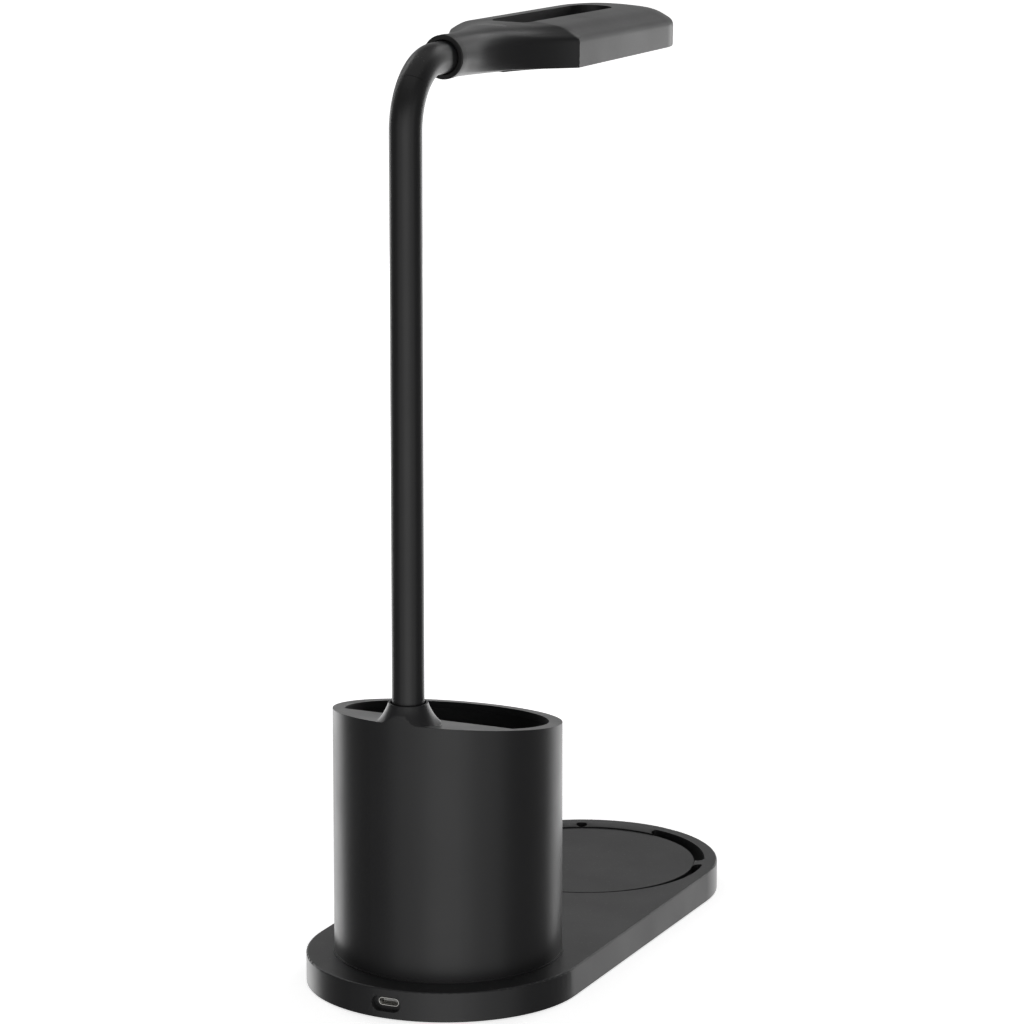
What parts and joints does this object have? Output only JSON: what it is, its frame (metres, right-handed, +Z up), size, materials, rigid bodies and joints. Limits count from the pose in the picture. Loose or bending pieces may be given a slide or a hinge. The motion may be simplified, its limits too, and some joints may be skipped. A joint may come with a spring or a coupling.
{
  "type": "desk lamp",
  "caption": "Desk lamp with a gooseneck stem and flat slotted head, rising from a slant-cut pen cup on a long base with a round charging pad and a plug socket in its end.",
  "frame": {"origin": "middle of the base's footprint, on the table under the feet", "axes": "+Z up, +X from the pen cup to the charging pad, XZ is the mirror plane"},
  "size_m": [0.2538, 0.1144, 0.3874],
  "materials": {
    "black_shell": "fine satin texture",
    "black_cover": "matte",
    "black_frame": "satin",
    "black_liner": "satin",
    "black_collar": "satin",
    "pad_black": "fine matte texture",
    "key_black": "smooth satin",
    "foot_rubber": "matte",
    "sleeve_rubber": "satin silicone",
    "lead_skin": "smooth",
    "screw_steel": "zinc plated",
    "ballast_steel": "plain sheet",
    "socket_steel": "nickel plated",
    "turned_steel": "turned",
    "core_steel": "wound wire",
    "coil_copper": "enamelled wire",
    "ferrite": "sintered",
    "board_green": "solder mask",
    "board_aluminium": "white mask",
    "chip_black": "moulded",
    "diffuser_white": "milky",
    "led_yellow": "phosphor"
  },
  "bodies": {
    "base": {"base_housing": "black_shell", "base_cover": "black_cover", "rubber_feet": "foot_rubber", "cover_screws": "screw_steel", "ballast_plate": "ballast_steel", "pad_disc": "pad_black", "charging_coil": "coil_copper", "ferrite_disc": "ferrite", "charger_board": "board_green", "charger_chips": "chip_black", "inlet_board": "board_green", "socket_shell": "socket_steel", "socket_tongue": "chip_black", "pad_lead": "lead_skin", "pen_cup_shell": "black_shell", "pen_cup_liner": "black_liner", "cup_screws": "screw_steel", "foot_ferrule": "turned_steel", "foot_washer": "screw_steel", "foot_nut": "screw_steel", "sleeve_foot": "sleeve_rubber", "core_foot": "core_steel", "lead_foot": "lead_skin"},
    "stem_lower": {"sleeve_lower": "sleeve_rubber", "core_lower": "core_steel", "lead_lower": "lead_skin"},
    "stem_upper": {"sleeve_upper": "sleeve_rubber", "core_upper": "core_steel", "lead_upper": "lead_skin"},
    "neck": {"sleeve_neck": "sleeve_rubber", "core_neck": "core_steel", "lead_neck": "lead_skin"},
    "head": {"sleeve_end": "sleeve_rubber", "core_end": "core_steel", "lead_end": "lead_skin", "collar_ring": "black_collar", "neck_ferrule": "turned_steel", "neck_nut": "screw_steel", "head_top_shell": "black_shell", "head_frame": "black_frame", "light_diffuser": "diffuser_white", "led_board": "board_aluminium", "led_chips": "led_yellow", "head_screws": "screw_steel", "touch_key": "key_black", "touch_board": "board_green", "head_lead": "lead_skin"}
  },
  "joints": [
    {"name": "stem_lean", "type": "hinge", "parent": "base", "child": "stem_lower", "pos_m": [-0.10474, 0, 0.154], "axis": [0, 1, 0], "range_deg": [-20, 25]},
    {"name": "stem_sway", "type": "hinge", "parent": "stem_lower", "child": "stem_upper", "pos_m": [-0.10474, 0, 0.19], "axis": [1, 0, 0], "range_deg": [-20, 20]},
    {"name": "neck_bend", "type": "hinge", "parent": "stem_upper", "child": "neck", "pos_m": [-0.10323, 0, 0.36236], "axis": [0, 1, 0], "range_deg": [-22.5, 15]},
    {"name": "neck_bend_upper", "type": "hinge", "parent": "neck", "child": "head", "pos_m": [-0.08904, 0, 0.37705], "axis": [0, 1, 0], "range_deg": [-22.5, 15]}
  ],
  "couplings": [
    {"joint": "neck_bend_upper", "follows": "neck_bend", "ratio": 1}
  ]
}
